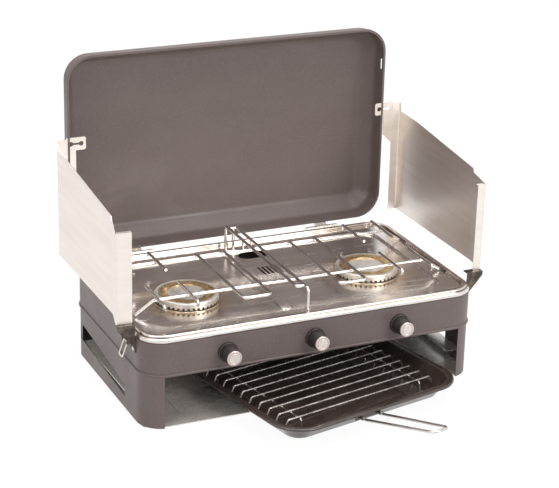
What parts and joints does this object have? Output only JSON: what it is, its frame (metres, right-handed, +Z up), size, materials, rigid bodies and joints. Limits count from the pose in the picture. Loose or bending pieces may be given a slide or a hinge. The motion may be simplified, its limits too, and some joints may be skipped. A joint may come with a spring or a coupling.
{
  "type": "gas grill and stove",
  "caption": "Portable gas stove with a hob, a pull-out grill pan below it, an upright hinged lid and side windshields.",
  "frame": {"origin": "On the surface the part stands on, under the middle of the whole part's bounding box, with the grill pan pulled out and the lid open.", "axes": "+Z up, +X to the right seen from the front, +Y to the back."},
  "size_m": [0.557, 0.5988, 0.4363],
  "materials": {
    "painted_sheet": "satin",
    "polished_hob_steel": "polished",
    "chromed_wire": "polished",
    "aluminium_sheet": "satin",
    "bright_face": "satin",
    "black_plastic": "matte",
    "brass": "satin",
    "black_enamel": "gloss",
    "galvanised_sheet": "satin",
    "cast_aluminium": "satin",
    "rubber": "matte",
    "dark_plated_steel": "satin",
    "plated_steel": "satin"
  },
  "bodies": {
    "root": {"back_screws": "plated_steel", "base_frame": "painted_sheet", "brass_ring_left": "brass", "brass_ring_right": "brass", "burner_bowl_left": "cast_aluminium", "burner_bowl_right": "cast_aluminium", "burner_cap_left": "cast_aluminium", "burner_cap_right": "cast_aluminium", "burner_crown_left": "cast_aluminium", "burner_crown_right": "cast_aluminium", "casing_shell": "painted_sheet", "feet": "rubber", "floor_plate": "galvanised_sheet", "gas_pipe": "plated_steel", "grill_burner": "galvanised_sheet", "grill_mixer_tube": "galvanised_sheet", "guide_rail_left": "galvanised_sheet", "guide_rail_right": "galvanised_sheet", "heat_shield": "galvanised_sheet", "hinge_casing_leaves": "plated_steel", "hinge_pins": "plated_steel", "hob_tray": "polished_hob_steel", "inlet_nozzle": "brass", "inlet_nut": "brass", "jets": "brass", "knob_collars": "black_plastic", "mixer_clips": "galvanised_sheet", "mixer_tube_left": "galvanised_sheet", "mixer_tube_right": "galvanised_sheet", "pipe_clips": "galvanised_sheet", "rivets": "plated_steel", "side_bracket_left": "dark_plated_steel", "side_bracket_right": "dark_plated_steel", "taps": "brass", "trim_rings": "polished_hob_steel"},
    "lid": {"lid_shell": "painted_sheet", "hinge_lid_leaves": "plated_steel", "hook_plate_left": "aluminium_sheet", "hook_plate_right": "aluminium_sheet"},
    "windshield_left_body": {"windshield_left": "aluminium_sheet"},
    "windshield_right_body": {"windshield_right": "aluminium_sheet"},
    "catch_left_body": {"catch_bail_left": "plated_steel"},
    "catch_right_body": {"catch_bail_right": "plated_steel"},
    "pan_support_body": {"pan_support": "chromed_wire"},
    "grill_pan_body": {"grill_pan": "black_enamel", "handle_sockets": "black_enamel"},
    "grill_rack_body": {"grill_rack": "chromed_wire"},
    "pan_handle_body": {"pan_handle": "chromed_wire"},
    "knob_left_body": {"knob_left": "black_plastic", "knob_cap_left": "bright_face", "spindle_left": "plated_steel"},
    "knob_middle_body": {"knob_middle": "black_plastic", "knob_cap_middle": "bright_face", "spindle_middle": "plated_steel"},
    "knob_right_body": {"knob_right": "black_plastic", "knob_cap_right": "bright_face", "spindle_right": "plated_steel"}
  },
  "joints": [
    {"name": "lid_hinge", "type": "hinge", "parent": "root", "child": "lid", "pos_m": [-0.00194, 0.25032, 0.1323], "axis": [1, 0, 0], "range_deg": [0, 90]},
    {"name": "knob_left_turn", "type": "hinge", "parent": "root", "child": "knob_left_body", "pos_m": [-0.13494, -0.05368, 0.102], "axis": [0, -1, 0], "range_deg": [0, 210]},
    {"name": "knob_middle_turn", "type": "hinge", "parent": "root", "child": "knob_middle_body", "pos_m": [-0.00594, -0.05368, 0.102], "axis": [0, -1, 0], "range_deg": [0, 210]},
    {"name": "knob_right_turn", "type": "hinge", "parent": "root", "child": "knob_right_body", "pos_m": [0.12306, -0.05368, 0.102], "axis": [0, -1, 0], "range_deg": [0, 210]},
    {"name": "windshield_left_lift", "type": "slide", "parent": "root", "child": "windshield_left_body", "axis": [0, 0, 1], "range_m": [0, 0.16]},
    {"name": "catch_left_swing", "type": "hinge", "parent": "root", "child": "catch_left_body", "pos_m": [-0.25654, 0.00382, 0.118], "axis": [0, 1, 0], "range_deg": [0, 148]},
    {"name": "windshield_right_lift", "type": "slide", "parent": "root", "child": "windshield_right_body", "axis": [0, 0, 1], "range_m": [0, 0.16]},
    {"name": "catch_right_swing", "type": "hinge", "parent": "root", "child": "catch_right_body", "pos_m": [0.25266, 0.00382, 0.118], "axis": [0, -1, 0], "range_deg": [0, 148]},
    {"name": "pan_support_lift", "type": "slide", "parent": "root", "child": "pan_support_body", "axis": [0, 0, 1], "range_m": [0, 0.06]},
    {"name": "grill_pan_slide", "type": "slide", "parent": "root", "child": "grill_pan_body", "axis": [-0.2079, 0.9781, 0], "range_m": [0, 0.1]},
    {"name": "grill_rack_lift", "type": "slide", "parent": "grill_pan_body", "child": "grill_rack_body", "axis": [0, 0, 1], "range_m": [0, 0.035]},
    {"name": "pan_handle_pull", "type": "slide", "parent": "grill_pan_body", "child": "pan_handle_body", "axis": [0.2079, -0.9781, 0], "range_m": [0, 0.03]}
  ]
}
